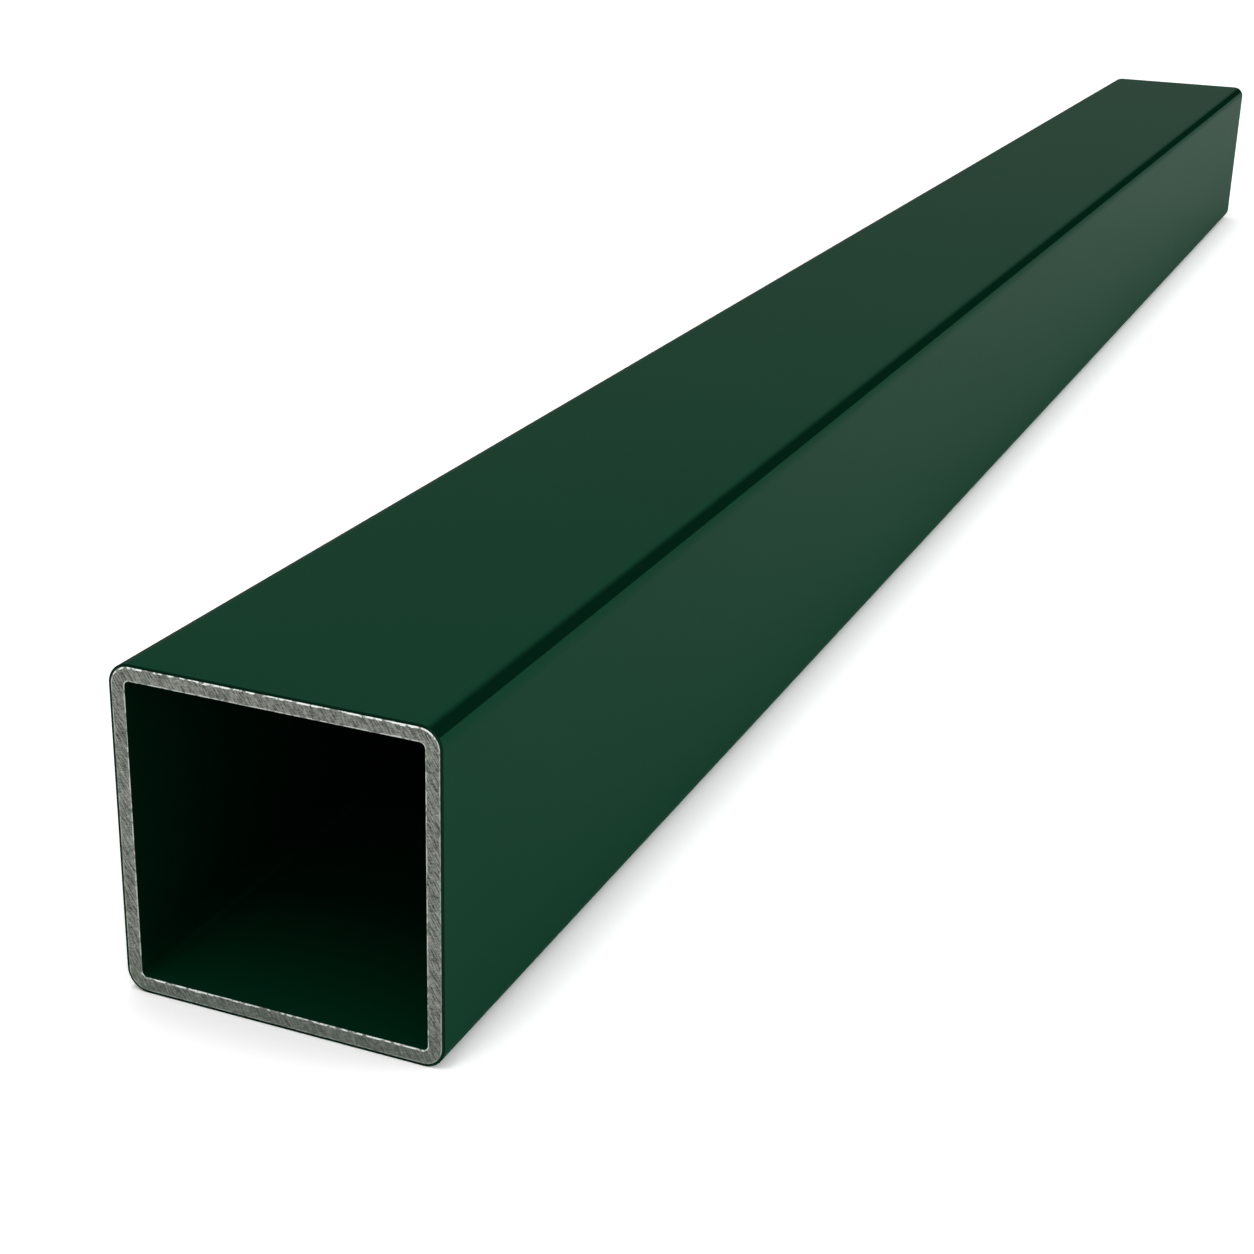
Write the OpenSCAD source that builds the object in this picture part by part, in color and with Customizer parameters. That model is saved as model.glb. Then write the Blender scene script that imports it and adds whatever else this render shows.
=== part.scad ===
// Square hollow post: one length of cold-formed square steel tube with rounded corners,
// sawn square at both ends and left open, lying on one of its four flat faces.

/* [Section] */
// Outside width of the section across its flats, the same both ways
post_width = 60; // [40:1:120]
// Thickness of the rolled wall
wall = 3; // [1.5:0.1:6]
// Inside radius that the four corners are rolled to
bend_radius = 1.0; // [0.5:0.1:8]

/* [Length] */
// Length of the post between its two sawn ends
post_length = 800; // [300:1:3000]

/* [Hidden] */

// Colour of the coat on the tube
coat_green = "#1F4434";
// Width of the square hollow that runs through the post
bore_width = post_width - 2 * wall;
// The wall keeps its thickness round each bend, so the outside arc shares the inside arc's centre
corner_radius = bend_radius + wall;
// Sides of a full turn on each corner
$fn = 64;

// Square outline centred on the origin, with a true arc at each corner
module rounded_square(width, radius) {
    flat = width - 2 * radius;
    square([width, flat], center = true);
    square([flat, width], center = true);
    for (side_x = [-1, 1], side_y = [-1, 1]) {
        translate([side_x * flat / 2, side_y * flat / 2])
            circle(r = radius);
    }
}

// Cross-section of the tube: the outside outline less the hollow
module tube_section() {
    difference() {
        rounded_square(post_width, corner_radius);
        rounded_square(bore_width, bend_radius);
    }
}

// The post along X, centred end to end, with its underside on the ground at Z = 0
module post() {
    color(coat_green)
        translate([-post_length / 2, 0, post_width / 2])
            rotate([90, 0, 90])
                linear_extrude(height = post_length)
                    tube_section();
}

post();
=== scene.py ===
import math

import bpy
from mathutils import Matrix, Vector


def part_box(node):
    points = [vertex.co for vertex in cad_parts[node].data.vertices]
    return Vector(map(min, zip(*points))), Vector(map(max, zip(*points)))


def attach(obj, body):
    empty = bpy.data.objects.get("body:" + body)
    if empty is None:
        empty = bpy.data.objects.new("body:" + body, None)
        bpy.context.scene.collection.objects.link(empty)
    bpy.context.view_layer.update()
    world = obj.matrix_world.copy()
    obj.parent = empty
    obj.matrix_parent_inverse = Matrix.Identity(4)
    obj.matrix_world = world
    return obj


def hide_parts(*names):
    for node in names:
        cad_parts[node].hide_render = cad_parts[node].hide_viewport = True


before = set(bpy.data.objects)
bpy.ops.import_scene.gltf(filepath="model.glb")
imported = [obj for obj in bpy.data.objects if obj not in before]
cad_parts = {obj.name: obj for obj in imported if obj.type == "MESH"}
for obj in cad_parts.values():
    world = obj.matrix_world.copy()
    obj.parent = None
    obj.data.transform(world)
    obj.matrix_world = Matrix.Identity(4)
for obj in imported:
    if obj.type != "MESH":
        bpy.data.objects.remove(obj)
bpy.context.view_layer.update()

bl_info = {
    "name": "Square Post",
    "version": (1, 0, 0),
    "blender": (4, 5, 0),
    "location": "View3D > Sidebar > Post",
    "description": "Green coated square steel tube with sawn ends, on a pale studio floor",
    "category": "Object",
}

MM = 0.001

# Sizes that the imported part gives, in metres
POST_LOW, POST_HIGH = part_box("post")
POST_SPAN = Vector(POST_HIGH) - Vector(POST_LOW)
MIDDLE_HEIGHT = (POST_LOW[2] + POST_HIGH[2]) / 2
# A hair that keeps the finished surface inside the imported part's box
HAIR = 0.001 * MM

# Steps of the swept mesh
STEPS = {"Steps Round": 1000, "Steps Across": 30, "Steps Along": 9, "Steps In Bend": 32}
# How near to the cut a point counts as on it, and how near to a surface it counts as in it
AT_CUT = 1 * MM
TOUCH = 0.01 * MM
# Edges that turn by more than this stay sharp
SHARP_TURN = math.radians(25)

# Angles round a bend, from the top or the underside: where the flat's own coat stops, and where the
# painted shade (a darker green with less sheen) begins, is full and ends. A swing is added at the back and
# taken off at the front, so that the painted shade ends sooner there.
FLAT_STOPS = math.radians(4)
SHADE_BEGINS = math.radians(12)
SHADE_FULL, SHADE_FULL_SWING = math.radians(30), math.radians(-2)
SHADE_ENDS, SHADE_ENDS_SWING = math.radians(66), math.radians(10)
# Share of the painted shade on the coat's rim at the cut, beside a flat and beside a bend
RIM_BY_FLAT, RIM_BY_BEND = 0.8, 0.4
# How steeply the coat's lip turns over: steep, so that only its rim does
LIP_POWER = 6.0
# Sheen at the foot of the post, as a share of the full sheen: painted shade, lower towards the foot
FOOT_SHEEN = 0.28

# Painted highlight on the deburred edges: the least, and what facing up adds, on the outer and the inner
# edge
OUTER_LEAST, OUTER_RISE = 0.2, 0.62
INNER_LEAST, INNER_RISE = 0.36, 0.42
# Width of a bevel as a share of the edge break: the least, and what the painted highlight's share adds
BEVEL_LEAST, BEVEL_SWELL = 0.55, 0.75
# Depth of a bevel for each unit of its width
BEVEL_SLOPE = 0.15
# How often a saw groove changes along its path, as a share of how often across it
GROOVE_STRETCH = 0.12

# Width, depth and place of the two lamps
KEY_SPAN, KEY_AT = (1.6, 0.3), (-0.7, 0.12, 1.7)
FILL_SPAN, FILL_AT = (1.6, 1.6), (0.3, -1.9, 0.7)
# Distances from the post's middle between which the floor grows whiter to the camera, and by how much
WHITENS_FROM, WHITENS_TO, WHITENS_BY = 0.8, 2.5, 1.3
# How pale the floor is to light that bounces off it
FLOOR_BOUNCE = 0.8


def linear(hex_colour):
    """An sRGB colour written as #RRGGBB, as linear red, green, blue and alpha."""
    channels = [int(hex_colour[i:i + 2], 16) / 255 for i in (1, 3, 5)]
    curve = [c / 12.92 if c <= 0.04045 else ((c + 0.055) / 1.055) ** 2.4 for c in channels]
    return (*curve, 1.0)


def add(tree, kind, inputs=None, **settings):
    """Adds a node of that kind, sets its properties, and sets or links its inputs."""
    node = tree.nodes.new(kind)
    for name, value in settings.items():
        setattr(node, name, value)
    for key, value in (inputs or {}).items():
        if isinstance(value, bpy.types.Node):
            value = value.outputs[0]
        if isinstance(value, bpy.types.NodeSocket):
            tree.links.new(value, node.inputs[key])
        else:
            node.inputs[key].default_value = value
    return node


# Settings

class PostSizes(bpy.types.PropertyGroup):
    """Sizes of the tube and of its sawn ends."""

    length: bpy.props.FloatProperty(
        name="Length", description="Between the two sawn ends",
        default=POST_SPAN.x - HAIR, min=0.1, unit="LENGTH")
    width: bpy.props.FloatProperty(
        name="Width", description="Outside width across the flats",
        default=POST_SPAN.y - HAIR, min=0.02, unit="LENGTH")
    wall: bpy.props.FloatProperty(
        name="Wall", description="Thickness of the wall with its coat",
        default=3 * MM, min=1 * MM, unit="LENGTH", precision=4)
    bend_radius: bpy.props.FloatProperty(
        name="Bend radius", description="Inside radius of the rolled corners",
        default=1.0 * MM, min=0.2 * MM, unit="LENGTH", precision=4)
    # A real powder coat is about 0.1 mm thick. Its rim is drawn thicker, so that it shows.
    coat: bpy.props.FloatProperty(
        name="Coat", description="Thickness of the coat that shows round the sawn ring",
        default=0.52 * MM, min=0.05 * MM, unit="LENGTH", precision=5)
    coat_back: bpy.props.FloatProperty(
        name="Coat set back", description="How far the coat's lip stands back from the cut",
        default=0.03 * MM, min=0.0, unit="LENGTH", precision=5)
    coat_round: bpy.props.FloatProperty(
        name="Coat rounding", description="Rounding of the coat's rim towards the outside",
        default=0.12 * MM, min=0.0, unit="LENGTH", precision=5)
    edge_break: bpy.props.FloatProperty(
        name="Edge break", description="Width of the bright bevel that deburring left on the ring's edges",
        default=0.24 * MM, min=0.05 * MM, unit="LENGTH", precision=5)
    saw_depth: bpy.props.FloatProperty(
        name="Saw mark depth", description="Depth of the grooves that the saw left",
        default=0.03 * MM, min=0.0, unit="LENGTH", precision=5)
    saw_pitch: bpy.props.FloatProperty(
        name="Saw mark pitch", description="Distance from one saw groove to the next",
        default=0.45 * MM, min=0.1 * MM, unit="LENGTH", precision=5)
    saw_angle: bpy.props.FloatProperty(
        name="Saw angle", description="Slope of the saw grooves across the end, from level",
        default=math.radians(58), subtype="ANGLE")


class PostFinish(bpy.types.PropertyGroup):
    """Colours of the coat and of the bare steel."""

    coat: bpy.props.FloatVectorProperty(
        name="Coat", description="Green of the coat on the flats",
        default=linear("#123E2B"), size=4, subtype="COLOR")
    # Painted shade: the darker green that the coat gets on the bends and on its rim at the cut
    coat_bend: bpy.props.FloatVectorProperty(
        name="Coat on the bends", description="Deeper green of the coat on the bends and at the cut",
        default=linear("#032114"), size=4, subtype="COLOR")
    # Inside the tube the coat is a darker copy without sheen, as painted shade, with a paler lower wall as
    # painted light
    inside: bpy.props.FloatVectorProperty(
        name="Inside", description="Dull green inside the tube",
        default=linear("#022717"), size=4, subtype="COLOR")
    inside_lit_floor: bpy.props.FloatVectorProperty(
        name="Inside floor", description="Paler green of the lower wall inside, where dust has settled",
        default=linear("#033420"), size=4, subtype="COLOR")
    steel: bpy.props.FloatVectorProperty(
        name="Sawn steel", description="Grey of the sawn ring",
        default=linear("#72776F"), size=4, subtype="COLOR")
    # Darker grey green mixed in patches over the foot of the sawn ring
    foot_patches: bpy.props.FloatVectorProperty(
        name="Smear", description="Grey green of coat dragged over the foot of the sawn ring",
        default=linear("#546458"), size=4, subtype="COLOR")
    # Bright steel of the bevels; how much of it an edge gets is partly a painted highlight, more on edges
    # that face up
    edge: bpy.props.FloatVectorProperty(
        name="Deburred edge", description="Bright steel on the broken edges",
        default=linear("#F0F6F1"), size=4, subtype="COLOR")
    roughness: bpy.props.FloatProperty(
        name="Coat roughness", description="Roughness of the coat",
        default=0.4, min=0.0, max=1.0)
    sheen: bpy.props.FloatProperty(
        name="Coat sheen", description="Specular level of the coat",
        default=0.0055, min=0.0, max=1.0, precision=4)


class PostStage(bpy.types.PropertyGroup):
    """Floor, light and camera."""

    floor_span: bpy.props.FloatProperty(
        name="Floor", description="Width of the floor sheet", default=12.0, unit="LENGTH")
    floor_gain: bpy.props.FloatProperty(
        name="Floor white", description="How much paler than plain white paper the camera sees the floor",
        default=1.7)
    sky: bpy.props.FloatProperty(
        name="Sky", description="Level of the soft light from all round", default=0.53)
    key: bpy.props.FloatProperty(
        name="Key", description="Power of the strip light overhead", default=8.0, unit="POWER")
    fill: bpy.props.FloatProperty(
        name="Fill", description="Power of the soft box at the front", default=18.0, unit="POWER")
    camera_at: bpy.props.FloatVectorProperty(
        name="Camera", description="Where the camera stands",
        default=(-0.66674, -0.16929, 0.19599), subtype="TRANSLATION", unit="LENGTH")
    heading: bpy.props.FloatProperty(
        name="Heading", description="Camera direction from +X towards +Y",
        default=math.radians(22.405), subtype="ANGLE")
    tilt: bpy.props.FloatProperty(
        name="Tilt", description="How far the camera looks down",
        default=math.radians(21.630), subtype="ANGLE")
    roll: bpy.props.FloatProperty(
        name="Roll", description="Camera roll", default=math.radians(1.568), subtype="ANGLE")
    lens: bpy.props.FloatProperty(
        name="Lens", description="Focal length in millimetres on a 36 mm frame", default=63.168)


# Materials

def new_material(name):
    """A material with its shader, and the object coordinates that its patterns use."""
    material = bpy.data.materials.new(name)
    material.use_nodes = True
    tree = material.node_tree
    tree.nodes.clear()
    shader = add(tree, "ShaderNodeBsdfPrincipled")
    add(tree, "ShaderNodeOutputMaterial", {"Surface": shader})
    place = add(tree, "ShaderNodeTexCoord").outputs["Object"]
    return material, tree, shader, place


def shaded_sheen(tree, place, finish):
    """Sheen of the coat, full at the top of the post and less towards the foot, as painted shade."""
    height = add(tree, "ShaderNodeSeparateXYZ", {0: place}).outputs["Z"]
    return add(tree, "ShaderNodeMapRange", {"Value": height, "From Max": POST_SPAN.z,
                                            "To Min": FOOT_SHEEN * finish.sheen, "To Max": finish.sheen})


def powder_coat(finish):
    """Satin polyester powder coat: even colour, a soft sheen at a low angle and a faint orange peel."""
    cloud_size = 70 * MM
    peel_size = 1.5 * MM
    peel_depth = 0.02 * MM
    material, tree, shader, place = new_material("Green powder coat")
    cloud = add(tree, "ShaderNodeTexNoise", {"Vector": place, "Scale": 1 / cloud_size, "Detail": 2})
    shade = add(tree, "ShaderNodeMapRange", {"Value": cloud, "To Min": 0.94, "To Max": 1.06})
    tint = add(tree, "ShaderNodeMix", {0: 1.0, 6: tuple(finish.coat), 7: shade},
               data_type="RGBA", blend_type="MULTIPLY")
    peel = add(tree, "ShaderNodeTexNoise", {"Vector": place, "Scale": 1 / peel_size, "Detail": 2})
    bump = add(tree, "ShaderNodeBump", {"Height": peel, "Strength": 0.15, "Distance": peel_depth})
    # Sheen that fades towards the foot, as painted shade
    sheen = shaded_sheen(tree, place, finish)
    tree.links.new(tint.outputs[2], shader.inputs["Base Color"])
    tree.links.new(bump.outputs[0], shader.inputs["Normal"])
    tree.links.new(sheen.outputs[0], shader.inputs["Specular IOR Level"])
    shader.inputs["Roughness"].default_value = finish.roughness
    return material


def bend_coat(finish):
    """Coat on the bends with painted shade: a darker green and less sheen, fading in from the flat."""
    material, tree, shader, place = new_material("Green powder coat on bends")
    # Share of the painted shade, stored on the mesh
    share = add(tree, "ShaderNodeAttribute", attribute_name="bend").outputs["Fac"]
    tint = add(tree, "ShaderNodeMix", {0: share, 6: tuple(finish.coat), 7: tuple(finish.coat_bend)},
               data_type="RGBA")
    # The painted shade also takes the sheen away, in step with its share
    flat = add(tree, "ShaderNodeMath", {0: 1.0, 1: share}, operation="SUBTRACT")
    sheen = shaded_sheen(tree, place, finish)
    sheen = add(tree, "ShaderNodeMath", {0: sheen, 1: flat}, operation="MULTIPLY")
    tree.links.new(tint.outputs[2], shader.inputs["Base Color"])
    tree.links.new(sheen.outputs[0], shader.inputs["Specular IOR Level"])
    shader.inputs["Roughness"].default_value = finish.roughness
    return material


def inside_coat(sizes, finish):
    """Coat inside the tube, darker and without sheen as painted shade, and paler on the lower wall as
    painted light.
    """
    floor_light_top = 3 * sizes.wall
    material, tree, shader, place = new_material("Green coat inside")
    height = add(tree, "ShaderNodeSeparateXYZ", {0: place}).outputs["Z"]
    # Paler towards the lower wall, as painted light
    floor_light = add(tree, "ShaderNodeMapRange", {"Value": height, "From Min": sizes.wall, "From Max": floor_light_top,
                                            "To Min": 1.0, "To Max": 0.0})
    tint = add(tree, "ShaderNodeMix", {0: floor_light, 6: tuple(finish.inside), 7: tuple(finish.inside_lit_floor)},
               data_type="RGBA")
    tree.links.new(tint.outputs[2], shader.inputs["Base Color"])
    shader.inputs["Roughness"].default_value = 0.7
    shader.inputs["Specular IOR Level"].default_value = 0.0
    return material


def sawn_steel(sizes, finish):
    """Mild steel cut by a saw: dull grey with slanting scratches, a speckle and a few bright nicks.

    The scratches are drawn about twice as coarse as the real ones, so that they show.
    """
    speckle_size = 0.35 * MM
    patch_size = 0.9 * MM
    foot_low, foot_high = 3 * MM, 9 * MM
    material, tree, shader, place = new_material("Sawn mild steel")
    shades = []
    for turn, across, along, low, high in (
        (0.0, 0.22 * MM, 1.8 * MM, -0.5, 0.55),
        (math.radians(70), 0.22 * MM, 1.0 * MM, -0.2, 0.2),
    ):
        turned = add(tree, "ShaderNodeVectorRotate", {"Vector": place, "Angle": turn - sizes.saw_angle},
                     rotation_type="X_AXIS")
        grain = (1 / (3 * MM), 1 / along, 1 / across)
        streak_at = add(tree, "ShaderNodeVectorMath", {0: turned, 1: grain}, operation="MULTIPLY")
        streak = add(tree, "ShaderNodeTexNoise", {"Vector": streak_at, "Scale": 1.0, "Detail": 2})
        shades.append(add(tree, "ShaderNodeMapRange", {"Value": streak, "From Min": 0.4, "From Max": 0.6,
                                                       "To Min": low, "To Max": high}))
    speckle = add(tree, "ShaderNodeTexNoise", {"Vector": place, "Scale": 1 / speckle_size, "Detail": 1})
    shades.append(add(tree, "ShaderNodeMapRange", {"Value": speckle, "From Min": 0.25, "From Max": 0.75,
                                                   "To Min": -0.3, "To Max": 0.3}))
    nick = add(tree, "ShaderNodeTexNoise", {"Vector": streak_at, "Scale": 0.6, "Detail": 1})
    shades.append(add(tree, "ShaderNodeMapRange", {"Value": nick, "From Min": 0.63, "From Max": 0.69,
                                                   "To Max": 0.6}))
    shade = 1.0
    for part in shades:
        shade = add(tree, "ShaderNodeMath", {0: shade, 1: part}, operation="ADD")
    tint = add(tree, "ShaderNodeMix", {0: 1.0, 6: tuple(finish.steel), 7: shade},
               data_type="RGBA", blend_type="MULTIPLY")

    # The foot of the ring is darker and greener, in mottled patches
    height = add(tree, "ShaderNodeSeparateXYZ", {0: place}).outputs["Z"]
    foot = add(tree, "ShaderNodeMapRange", {"Value": height, "From Min": foot_low, "From Max": foot_high,
                                            "To Min": 1.0, "To Max": 0.0})
    patch = add(tree, "ShaderNodeTexNoise", {"Vector": place, "Scale": 1 / patch_size, "Detail": 3})
    foot_patches = add(tree, "ShaderNodeMapRange", {"Value": patch, "From Min": 0.45, "From Max": 0.65,
                                             "To Min": 0.25, "To Max": 0.75})
    foot_patches = add(tree, "ShaderNodeMath", {0: foot_patches, 1: foot}, operation="MULTIPLY")
    tint = add(tree, "ShaderNodeMix", {0: foot_patches, 6: tint.outputs[2], 7: tuple(finish.foot_patches)},
               data_type="RGBA")
    tree.links.new(tint.outputs[2], shader.inputs["Base Color"])
    shader.inputs["Metallic"].default_value = 0.3
    shader.inputs["Roughness"].default_value = 0.55
    return material


def deburred_edge(finish):
    """Steel wiped bright by a file: a broken shiny line, with a painted highlight strongest on edges that
    face up.
    """
    wear_size = 1.1 * MM
    material, tree, shader, place = new_material("Deburred steel edge")
    wear = add(tree, "ShaderNodeTexNoise", {"Vector": place, "Scale": 1 / wear_size, "Detail": 3})
    share = add(tree, "ShaderNodeMapRange", {"Value": wear, "From Min": 0.42, "From Max": 0.52,
                                             "To Max": 1.15})
    # Share of the painted highlight, stored on the mesh
    edge_glint = add(tree, "ShaderNodeAttribute", attribute_name="edge_glint").outputs["Fac"]
    share = add(tree, "ShaderNodeMath", {0: share, 1: edge_glint}, operation="MULTIPLY")
    tint = add(tree, "ShaderNodeMix", {0: share, 6: tuple(finish.steel), 7: tuple(finish.edge)},
               data_type="RGBA")
    tree.links.new(tint.outputs[2], shader.inputs["Base Color"])
    shader.inputs["Metallic"].default_value = 0.5
    shader.inputs["Roughness"].default_value = 0.3
    return material


# Tube

def tube_tree(materials):
    """Geometry nodes for a square tube: a wall outline swept round a rounded square, with sawn ends."""
    tree = bpy.data.node_groups.new("Sawn square tube", "GeometryNodeTree")
    for name in ("Length", "Width", "Centre Height", "Wall", "Bend Radius", "Coat", "Coat Back",
                 "Coat Round", "Edge Break", "Saw Depth", "Saw Pitch", "Saw Angle"):
        tree.interface.new_socket(name, in_out="INPUT", socket_type="NodeSocketFloat")
    for name in STEPS:
        tree.interface.new_socket(name, in_out="INPUT", socket_type="NodeSocketInt")
    tree.interface.new_socket("Geometry", in_out="OUTPUT", socket_type="NodeSocketGeometry")
    given = add(tree, "NodeGroupInput").outputs

    half_wall = add(tree, "ShaderNodeMath", {0: given["Wall"], 1: -0.5}, operation="MULTIPLY")
    half_length = add(tree, "ShaderNodeMath", {0: given["Length"], 1: 0.5}, operation="MULTIPLY")
    half_width = add(tree, "ShaderNodeMath", {0: given["Width"], 1: 0.5}, operation="MULTIPLY")
    corner = add(tree, "ShaderNodeMath", {0: given["Bend Radius"], 1: given["Wall"]}, operation="ADD")
    half_flat = add(tree, "ShaderNodeMath", {0: half_width, 1: corner}, operation="SUBTRACT")
    near_end = add(tree, "ShaderNodeMath", {0: half_length, 1: AT_CUT}, operation="SUBTRACT")

    # Outside outline of the section, as the path of the sweep
    square = add(tree, "GeometryNodeCurvePrimitiveQuadrilateral",
                 {"Width": given["Width"], "Height": given["Width"]})
    rounded = add(tree, "GeometryNodeFilletCurve",
                  {"Curve": square, "Radius": corner, "Count": given["Steps In Bend"]}, mode="POLY")
    path = add(tree, "GeometryNodeResampleCurve",
               {"Curve": rounded, "Count": given["Steps Round"]}, mode="COUNT")
    path = add(tree, "GeometryNodeSetCurveNormal", {"Curve": path}, mode="Z_UP")

    # Outline of the wall cut lengthwise: its short sides are the sawn ends
    wall = add(tree, "GeometryNodeCurvePrimitiveQuadrilateral",
               {"Width": given["Wall"], "Height": given["Length"]})
    index = add(tree, "GeometryNodeInputIndex")
    is_long = add(tree, "ShaderNodeMath", {0: index, 1: 2.0}, operation="MODULO")
    steps = add(tree, "ShaderNodeMix",
                {0: is_long, 2: given["Steps Across"], 3: given["Steps Along"]}, data_type="FLOAT")
    cuts = add(tree, "ShaderNodeMath", {0: steps, 1: 1.0}, operation="SUBTRACT")
    wall = add(tree, "GeometryNodeSubdivideCurve", {"Curve": wall, "Cuts": cuts})
    shift = add(tree, "ShaderNodeCombineXYZ", {"X": half_wall})
    wall = add(tree, "GeometryNodeTransform", {"Geometry": wall, "Translation": shift})
    place = add(tree, "GeometryNodeInputPosition")
    axis = add(tree, "ShaderNodeSeparateXYZ", {0: place}).outputs
    below = add(tree, "ShaderNodeMath", {0: axis["X"], 1: -1.0}, operation="MULTIPLY")
    wall = add(tree, "GeometryNodeStoreNamedAttribute",
               {"Geometry": wall, "Name": "depth", "Value": below}, data_type="FLOAT", domain="POINT")
    tube = add(tree, "GeometryNodeCurveToMesh", {"Curve": path, "Profile Curve": wall})

    # Depth in the wall, and the distance from the nearer edge of the bare steel
    depth = add(tree, "GeometryNodeInputNamedAttribute", {"Name": "depth"}, data_type="FLOAT")
    from_coat = add(tree, "ShaderNodeMath", {0: depth, 1: given["Coat"]}, operation="SUBTRACT")
    from_bore = add(tree, "ShaderNodeMath", {0: given["Wall"], 1: depth}, operation="SUBTRACT")
    from_edge = add(tree, "ShaderNodeMath", {0: from_coat, 1: from_bore}, operation="MINIMUM")
    along = add(tree, "ShaderNodeMath", {0: axis["Z"]}, operation="ABSOLUTE")
    at_end = add(tree, "FunctionNodeCompare", {0: along, 1: near_end}, data_type="FLOAT")

    # Angle round the bend, and the share of painted shade (a darker green) that it gives the coat
    clear = add(tree, "ShaderNodeVectorMath", {0: place}, operation="ABSOLUTE")
    inset = add(tree, "ShaderNodeCombineXYZ", {"X": half_flat, "Y": half_flat, "Z": given["Length"]})
    clear = add(tree, "ShaderNodeVectorMath", {0: clear, 1: inset}, operation="SUBTRACT")
    clear = add(tree, "ShaderNodeVectorMath", {0: clear, 1: (0, 0, 0)}, operation="MAXIMUM")
    out_from = add(tree, "ShaderNodeSeparateXYZ", {0: clear}).outputs
    round_by = add(tree, "ShaderNodeMath", {0: out_from["X"], 1: out_from["Y"]}, operation="ARCTAN2")
    back_side = add(tree, "ShaderNodeMath", {0: axis["X"]}, operation="SIGN")
    full = add(tree, "ShaderNodeMath", {0: back_side, 1: SHADE_FULL_SWING, 2: SHADE_FULL},
               operation="MULTIPLY_ADD")
    end = add(tree, "ShaderNodeMath", {0: back_side, 1: SHADE_ENDS_SWING, 2: SHADE_ENDS},
              operation="MULTIPLY_ADD")
    bend = add(tree, "ShaderNodeMapRange", {"Value": round_by, "From Min": SHADE_BEGINS, "From Max": full},
               interpolation_type="SMOOTHSTEP")
    # On the coat's rim at the cut, the share of painted shade is remapped by RIM_BY_FLAT and RIM_BY_BEND
    in_coat = add(tree, "FunctionNodeCompare", {0: from_coat, 1: -TOUCH},
                  data_type="FLOAT", operation="LESS_THAN")
    under = add(tree, "FunctionNodeCompare", {0: depth, 1: TOUCH}, data_type="FLOAT")
    in_rim = add(tree, "FunctionNodeBooleanMath", {0: in_coat, 1: under}, operation="AND")
    rim_bend = add(tree, "ShaderNodeMapRange",
                   {"Value": bend, "To Min": RIM_BY_FLAT, "To Max": RIM_BY_BEND})
    bend = add(tree, "GeometryNodeSwitch", {"Switch": in_rim, "False": bend, "True": rim_bend},
               input_type="FLOAT")

    # Painted highlight on the ring's edges, highest on those that face up
    rise = add(tree, "ShaderNodeMath", {0: round_by}, operation="COSINE")
    upper = add(tree, "ShaderNodeMath", {0: axis["Y"]}, operation="SIGN")
    rise = add(tree, "ShaderNodeMath", {0: rise, 1: upper}, operation="MULTIPLY")
    in_half = add(tree, "FunctionNodeCompare", {0: from_bore, 1: from_coat},
                  data_type="FLOAT", operation="LESS_THAN")
    facing = add(tree, "GeometryNodeSwitch", {"Switch": in_half, "False": 1.0, "True": -1.0},
                 input_type="FLOAT")
    rise = add(tree, "ShaderNodeMath", {0: rise, 1: facing}, operation="MULTIPLY")
    rise = add(tree, "ShaderNodeMath", {0: rise, 1: 0.0}, operation="MAXIMUM")
    least = add(tree, "GeometryNodeSwitch", {"Switch": in_half, "False": OUTER_LEAST, "True": INNER_LEAST},
                input_type="FLOAT")
    swing = add(tree, "GeometryNodeSwitch", {"Switch": in_half, "False": OUTER_RISE, "True": INNER_RISE},
                input_type="FLOAT")
    edge_glint = add(tree, "ShaderNodeMath", {0: rise, 1: swing, 2: least},
               operation="MULTIPLY_ADD", use_clamp=True)
    for name, value in (("bend", bend), ("edge_glint", edge_glint)):
        tube = add(tree, "GeometryNodeStoreNamedAttribute",
                   {"Geometry": tube, "Name": name, "Value": value}, data_type="FLOAT", domain="POINT")

    # Bevel on the edges, uneven along the edge and wider where the painted highlight is strong
    uneven_size = 3.5 * MM
    uneven = add(tree, "ShaderNodeTexNoise", {"Vector": place, "Scale": 1 / uneven_size, "Detail": 3})
    share = add(tree, "ShaderNodeMapRange",
                {"Value": uneven, "From Min": 0.3, "From Max": 0.7, "To Min": 0.5, "To Max": 1.4})
    swell = add(tree, "ShaderNodeMath", {0: edge_glint, 1: BEVEL_SWELL, 2: BEVEL_LEAST}, operation="MULTIPLY_ADD")
    share = add(tree, "ShaderNodeMath", {0: share, 1: swell}, operation="MULTIPLY")
    bevel = add(tree, "ShaderNodeMath", {0: share, 1: given["Edge Break"]}, operation="MULTIPLY")
    bevel_cut = add(tree, "ShaderNodeMath", {0: bevel, 1: from_edge}, operation="SUBTRACT")
    bevel_cut = add(tree, "ShaderNodeMath", {0: bevel_cut, 1: 0.0}, operation="MAXIMUM")

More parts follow.
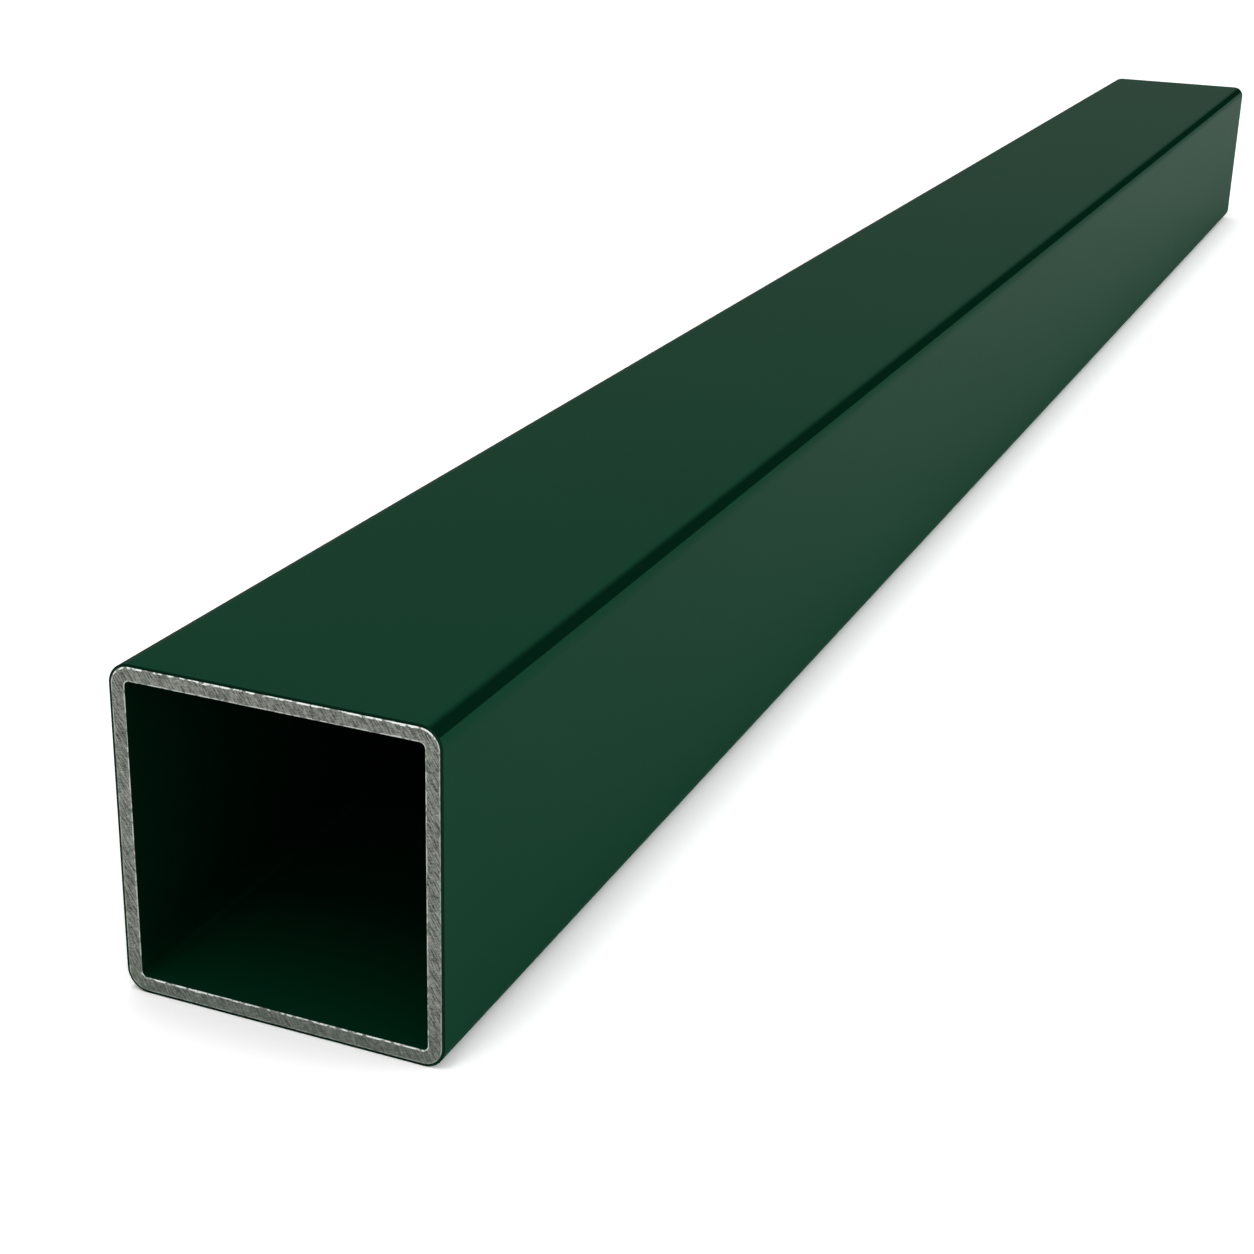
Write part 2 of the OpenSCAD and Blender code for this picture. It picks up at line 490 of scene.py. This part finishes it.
    # Saw grooves, drawn out along the saw's path
    turn = add(tree, "ShaderNodeMath", {0: given["Saw Angle"], 1: -1.0}, operation="MULTIPLY")
    turned = add(tree, "ShaderNodeVectorRotate", {"Vector": place, "Angle": turn}, rotation_type="Z_AXIS")
    fine = add(tree, "ShaderNodeMath", {0: 1.0, 1: given["Saw Pitch"]}, operation="DIVIDE")
    coarse = add(tree, "ShaderNodeMath", {0: fine, 1: GROOVE_STRETCH}, operation="MULTIPLY")
    grain = add(tree, "ShaderNodeCombineXYZ", {"X": coarse, "Y": fine, "Z": coarse})
    groove_at = add(tree, "ShaderNodeVectorMath", {0: turned, 1: grain}, operation="MULTIPLY")
    groove = add(tree, "ShaderNodeTexNoise", {"Vector": groove_at, "Scale": 1.0, "Detail": 2})
    groove = add(tree, "ShaderNodeMapRange", {"Value": groove, "From Min": 0.25, "From Max": 0.75})
    groove_cut = add(tree, "ShaderNodeMath", {0: groove, 1: given["Saw Depth"]}, operation="MULTIPLY")
    steel_cut = add(tree, "ShaderNodeMath", {0: bevel_cut, 1: BEVEL_SLOPE, 2: groove_cut},
                    operation="MULTIPLY_ADD")

    # Lip of the coat, rounded and set back
    lip = add(tree, "ShaderNodeMath", {0: from_coat, 1: given["Coat"]}, operation="DIVIDE")
    lip = add(tree, "ShaderNodeMath", {0: lip, 1: LIP_POWER}, operation="POWER")
    lip = add(tree, "ShaderNodeMath", {0: 1.0, 1: lip}, operation="SUBTRACT")
    lip = add(tree, "ShaderNodeMath", {0: lip}, operation="SQRT")
    lip = add(tree, "ShaderNodeMath", {0: 1.0, 1: lip}, operation="SUBTRACT")
    lip_cut = add(tree, "ShaderNodeMath", {0: lip, 1: given["Coat Round"], 2: given["Coat Back"]},
                  operation="MULTIPLY_ADD")
    cut = add(tree, "GeometryNodeSwitch", {"Switch": in_coat, "False": steel_cut, "True": lip_cut},
              input_type="FLOAT")
    outward = add(tree, "ShaderNodeMath", {0: axis["Z"]}, operation="SIGN")
    inward = add(tree, "ShaderNodeMath", {0: outward, 1: -1.0}, operation="MULTIPLY")
    inward = add(tree, "ShaderNodeMath", {0: inward, 1: cut}, operation="MULTIPLY")
    move = add(tree, "ShaderNodeCombineXYZ", {"Z": inward})
    tube = add(tree, "GeometryNodeSetPosition", {"Geometry": tube, "Selection": at_end, "Offset": move})

    # Smooth faces with sharp rims, so that the long flats keep one direction
    tube = add(tree, "GeometryNodeSetShadeSmooth", {"Geometry": tube, "Shade Smooth": True}, domain="FACE")
    turn_at = add(tree, "GeometryNodeInputMeshEdgeAngle")
    hard = add(tree, "FunctionNodeCompare", {0: turn_at, 1: SHARP_TURN}, data_type="FLOAT")
    tube = add(tree, "GeometryNodeSetShadeSmooth",
               {"Geometry": tube, "Selection": hard, "Shade Smooth": False}, domain="EDGE")

    # A finish for each part of the surface, the widest first
    past_flat = add(tree, "FunctionNodeCompare", {0: round_by, 1: FLAT_STOPS}, data_type="FLOAT")
    before_end = add(tree, "FunctionNodeCompare", {0: round_by, 1: end},
                     data_type="FLOAT", operation="LESS_THAN")
    on_bend = add(tree, "FunctionNodeBooleanMath", {0: past_flat, 1: before_end}, operation="AND")
    in_bore = add(tree, "FunctionNodeCompare", {0: from_bore, 1: TOUCH},
                  data_type="FLOAT", operation="LESS_THAN")
    in_bevel = add(tree, "FunctionNodeCompare", {0: from_edge, 1: bevel},
                   data_type="FLOAT", operation="LESS_THAN")
    bevel_end = add(tree, "FunctionNodeBooleanMath", {0: at_end, 1: in_bevel}, operation="AND")
    coat_end = add(tree, "FunctionNodeBooleanMath", {0: at_end, 1: in_coat}, operation="AND")
    # The bends and the coat's rim at the cut get the coat with painted shade
    for finish, where in (("coat", None), ("coat_bend", on_bend), ("inside", in_bore), ("steel", at_end),
                          ("edge", bevel_end), ("coat_bend", coat_end)):
        tube = add(tree, "GeometryNodeSetMaterial", {"Geometry": tube, "Material": materials[finish]})
        if where:
            tree.links.new(where.outputs[0], tube.inputs["Selection"])

    # Laid along X on the floor
    height = add(tree, "ShaderNodeCombineXYZ", {"Z": given["Centre Height"]})
    tube = add(tree, "GeometryNodeTransform",
               {"Geometry": tube, "Translation": height, "Rotation": (math.pi / 2, 0, math.pi / 2)})
    tube = add(tree, "GeometryNodeRealizeInstances", {"Geometry": tube})
    add(tree, "NodeGroupOutput", {0: tube})
    return tree


def baked(name, tree, values):
    """An object with the mesh that the tree gives for those named values."""
    holder = bpy.data.objects.new(name, bpy.data.meshes.new(name))
    bpy.context.scene.collection.objects.link(holder)
    modifier = holder.modifiers.new(tree.name, "NODES")
    modifier.node_group = tree
    for item in tree.interface.items_tree:
        if item.in_out == "INPUT":
            modifier[item.identifier] = values[item.name]
    graph = bpy.context.evaluated_depsgraph_get()
    mesh = bpy.data.meshes.new_from_object(holder.evaluated_get(graph))
    mesh.name = name
    holder.modifiers.remove(modifier)
    holder.data = mesh
    return holder


class POST_OT_build_tube(bpy.types.Operator):
    """Builds the coated tube with its sawn ends in place of the plain one"""

    bl_idname = "post.build_tube"
    bl_label = "Build Tube"

    def execute(self, context):
        sizes = context.scene.post_sizes
        finish = context.scene.post_finish
        materials = {
            "coat": powder_coat(finish),
            "coat_bend": bend_coat(finish),
            "inside": inside_coat(sizes, finish),
            "steel": sawn_steel(sizes, finish),
            "edge": deburred_edge(finish),
        }
        tube = baked("post_tube", tube_tree(materials), {
            "Length": sizes.length, "Width": sizes.width, "Wall": sizes.wall,
            "Centre Height": MIDDLE_HEIGHT, "Bend Radius": sizes.bend_radius,
            "Coat": sizes.coat, "Coat Back": sizes.coat_back, "Coat Round": sizes.coat_round,
            "Edge Break": sizes.edge_break, "Saw Depth": sizes.saw_depth, "Saw Pitch": sizes.saw_pitch,
            "Saw Angle": sizes.saw_angle, **STEPS,
        })
        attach(tube, "root")
        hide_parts("post")
        return {"FINISHED"}


# Stage

def studio_floor(stage):
    """White paper floor that keeps the post's shadow and clips to white away from it."""
    material = bpy.data.materials.new("White studio floor")
    material.use_nodes = True
    tree = material.node_tree
    tree.nodes.clear()
    ray = add(tree, "ShaderNodeLightPath").outputs
    seen = add(tree, "ShaderNodeMath", {0: ray["Is Camera Ray"], 1: ray["Is Glossy Ray"]},
               operation="MAXIMUM")
    place = add(tree, "ShaderNodeTexCoord").outputs["Object"]
    away = add(tree, "ShaderNodeVectorMath", {0: place}, operation="LENGTH").outputs["Value"]
    gain = add(tree, "ShaderNodeMapRange", {"Value": away, "From Min": WHITENS_FROM, "From Max": WHITENS_TO,
                                            "To Min": stage.floor_gain,
                                            "To Max": WHITENS_BY * stage.floor_gain})
    level = add(tree, "ShaderNodeMapRange", {"Value": seen, "To Min": FLOOR_BOUNCE, "To Max": gain})
    paper = add(tree, "ShaderNodeBsdfDiffuse", {"Color": level})
    add(tree, "ShaderNodeOutputMaterial", {"Surface": paper})
    return material


def aimed(location, target):
    """Matrix at location whose -Z looks at target."""
    turn = (Vector(target) - Vector(location)).to_track_quat("-Z", "Y")
    return Matrix.Translation(location) @ turn.to_matrix().to_4x4()


class POST_OT_build_stage(bpy.types.Operator):
    """Sets the floor, the soft light, the white surround and the camera"""

    bl_idname = "post.build_stage"
    bl_label = "Build Stage"

    def execute(self, context):
        scene = context.scene
        stage = scene.post_stage

        half = stage.floor_span / 2
        mesh = bpy.data.meshes.new("floor")
        mesh.from_pydata([(-half, -half, 0), (half, -half, 0), (half, half, 0), (-half, half, 0)],
                         [], [(0, 1, 2, 3)])
        mesh.materials.append(studio_floor(stage))
        floor = bpy.data.objects.new("floor", mesh)
        scene.collection.objects.link(floor)

        for name, power, span, placed in (
            ("key", stage.key, KEY_SPAN, Matrix.Translation(KEY_AT)),
            ("fill", stage.fill, FILL_SPAN, aimed(FILL_AT, (0, 0, MIDDLE_HEIGHT))),
        ):
            lamp = bpy.data.lights.new(name, "AREA")
            lamp.energy = power
            lamp.shape = "RECTANGLE"
            lamp.size, lamp.size_y = span
            holder = bpy.data.objects.new(name, lamp)
            holder.matrix_world = placed
            scene.collection.objects.link(holder)

        world = bpy.data.worlds.new("White surround")
        world.use_nodes = True
        tree = world.node_tree
        tree.nodes.clear()
        ray = add(tree, "ShaderNodeLightPath").outputs
        level = add(tree, "ShaderNodeMapRange",
                    {"Value": ray["Is Camera Ray"], "To Min": stage.sky, "To Max": 1.0})
        sky = add(tree, "ShaderNodeBackground", {"Color": (1, 1, 1, 1), "Strength": level})
        add(tree, "ShaderNodeOutputWorld", {"Surface": sky})
        scene.world = world

        camera = bpy.data.cameras.new("camera")
        camera.lens = stage.lens
        camera.clip_start = 0.01
        ahead = Vector((math.cos(stage.heading) * math.cos(stage.tilt),
                        math.sin(stage.heading) * math.cos(stage.tilt), -math.sin(stage.tilt)))
        right = ahead.cross(Vector((0, 0, 1))).normalized()
        up = right.cross(ahead)
        across = right * math.cos(stage.roll) + up * math.sin(stage.roll)
        upright = up * math.cos(stage.roll) - right * math.sin(stage.roll)
        axes = Matrix((across, upright, -ahead)).transposed().to_4x4()
        holder = bpy.data.objects.new("camera", camera)
        holder.matrix_world = Matrix.Translation(stage.camera_at) @ axes
        scene.collection.objects.link(holder)
        scene.camera = holder
        scene.view_settings.view_transform = "Standard"
        return {"FINISHED"}


class POST_PT_sidebar(bpy.types.Panel):
    """Sidebar panel with the post's settings and its two builders"""

    bl_idname = "POST_PT_sidebar"
    bl_label = "Square Post"
    bl_space_type = "VIEW_3D"
    bl_region_type = "UI"
    bl_category = "Post"

    def draw(self, context):
        for name in ("post_sizes", "post_finish", "post_stage"):
            group = getattr(context.scene, name)
            box = self.layout.box()
            for key in group.__annotations__:
                box.prop(group, key)
        self.layout.operator(POST_OT_build_tube.bl_idname)
        self.layout.operator(POST_OT_build_stage.bl_idname)


CLASSES = (PostSizes, PostFinish, PostStage, POST_OT_build_tube, POST_OT_build_stage, POST_PT_sidebar)
GROUPS = {"post_sizes": PostSizes, "post_finish": PostFinish, "post_stage": PostStage}


def register():
    for cls in CLASSES:
        bpy.utils.register_class(cls)
    for name, cls in GROUPS.items():
        setattr(bpy.types.Scene, name, bpy.props.PointerProperty(type=cls))


def unregister():
    for name in GROUPS:
        delattr(bpy.types.Scene, name)
    for cls in reversed(CLASSES):
        bpy.utils.unregister_class(cls)


def main():
    register()
    bpy.ops.post.build_tube()
    bpy.ops.post.build_stage()


if __name__ == "__main__":
    main()
